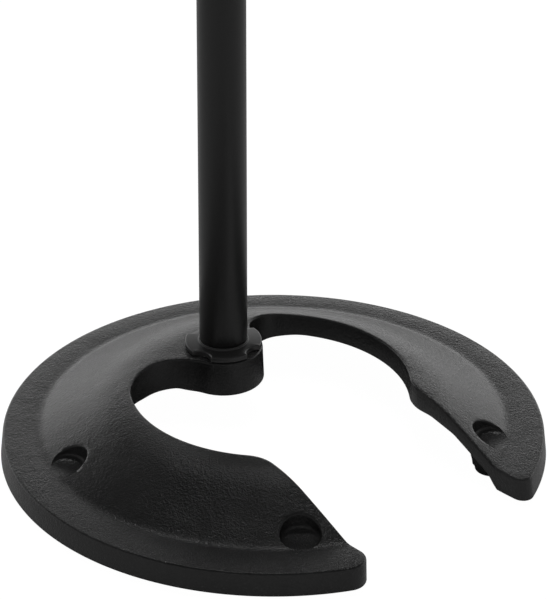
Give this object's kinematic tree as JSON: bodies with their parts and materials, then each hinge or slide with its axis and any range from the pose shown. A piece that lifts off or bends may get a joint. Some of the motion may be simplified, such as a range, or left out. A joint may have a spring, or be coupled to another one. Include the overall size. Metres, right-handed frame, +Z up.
{
  "type": "microphone stand",
  "caption": "Straight stand on a round C-shaped cast base that stacks, with a telescoping mast, a twist clutch and a threaded top.",
  "frame": {"origin": "on the floor, at the centre of the round base", "axes": "+Z up along the tube, +X to the right and +Y away from someone facing the base's left front, with the mouth at the front right"},
  "size_m": [0.2524, 0.2524, 0.8769],
  "materials": {
    "coated_iron": "black powder coat with a fine grain, semi-gloss",
    "coated_steel": "smooth satin black coat",
    "black_zinc": "smooth semi-gloss black coat on a die casting",
    "plated_steel": "bright zinc plate",
    "brass": "machined",
    "nylon": "natural nylon",
    "black_plastic": "fine moulded grain",
    "rubber": "matt"
  },
  "bodies": {
    "stand": {"base_casting": "coated_iron", "foot_1": "rubber", "foot_2": "rubber", "foot_3": "rubber", "foot_4": "rubber", "base_bolt": "plated_steel", "flat_washer": "plated_steel", "spring_washer": "plated_steel", "base_flange": "black_zinc", "outer_tube": "coated_steel", "tube_plug": "plated_steel", "clutch_body": "black_zinc", "clutch_collet": "nylon"},
    "clutch_ring": {"clutch_ring": "brass"},
    "clutch_grip": {"clutch_grip": "black_plastic", "clutch_wiper": "rubber"},
    "mast_glide": {"mast_glide": "nylon"},
    "mast": {"mast_tube": "coated_steel", "mast_end_plug": "nylon", "top_stud": "black_zinc", "thread_adapter": "plated_steel"},
    "lock_washer": {"lock_washer": "rubber"},
    "lock_ring": {"lock_ring": "black_zinc"}
  },
  "joints": [
    {"name": "mast_slide", "type": "slide", "parent": "stand", "child": "mast_glide", "axis": [0, 0, 1], "range_m": [0, 0.65]},
    {"name": "mast_turn", "type": "hinge", "parent": "mast_glide", "child": "mast", "pos_m": [-0.02341, 0.04087, 0.5], "axis": [0, 0, 1], "continuous": true},
    {"name": "clutch_lift", "type": "slide", "parent": "stand", "child": "clutch_ring", "axis": [0, 0, 1], "range_m": [0, 0.00076]},
    {"name": "clutch_turn", "type": "hinge", "parent": "clutch_ring", "child": "clutch_grip", "pos_m": [-0.02341, 0.04087, 0.83], "axis": [0, 0, 1], "range_deg": [0, 180]},
    {"name": "lock_lift", "type": "slide", "parent": "mast", "child": "lock_washer", "axis": [0, 0, 1], "range_m": [0, 0.00284]},
    {"name": "lock_turn", "type": "hinge", "parent": "lock_washer", "child": "lock_ring", "pos_m": [-0.02341, 0.04087, 0.866], "axis": [0, 0, 1], "range_deg": [0, 1080]}
  ],
  "couplings": [
    {"joint": "clutch_lift", "follows": "clutch_turn", "m_per_rad": 0.00023873},
    {"joint": "lock_lift", "follows": "lock_turn", "m_per_rad": 0.00014977}
  ]
}
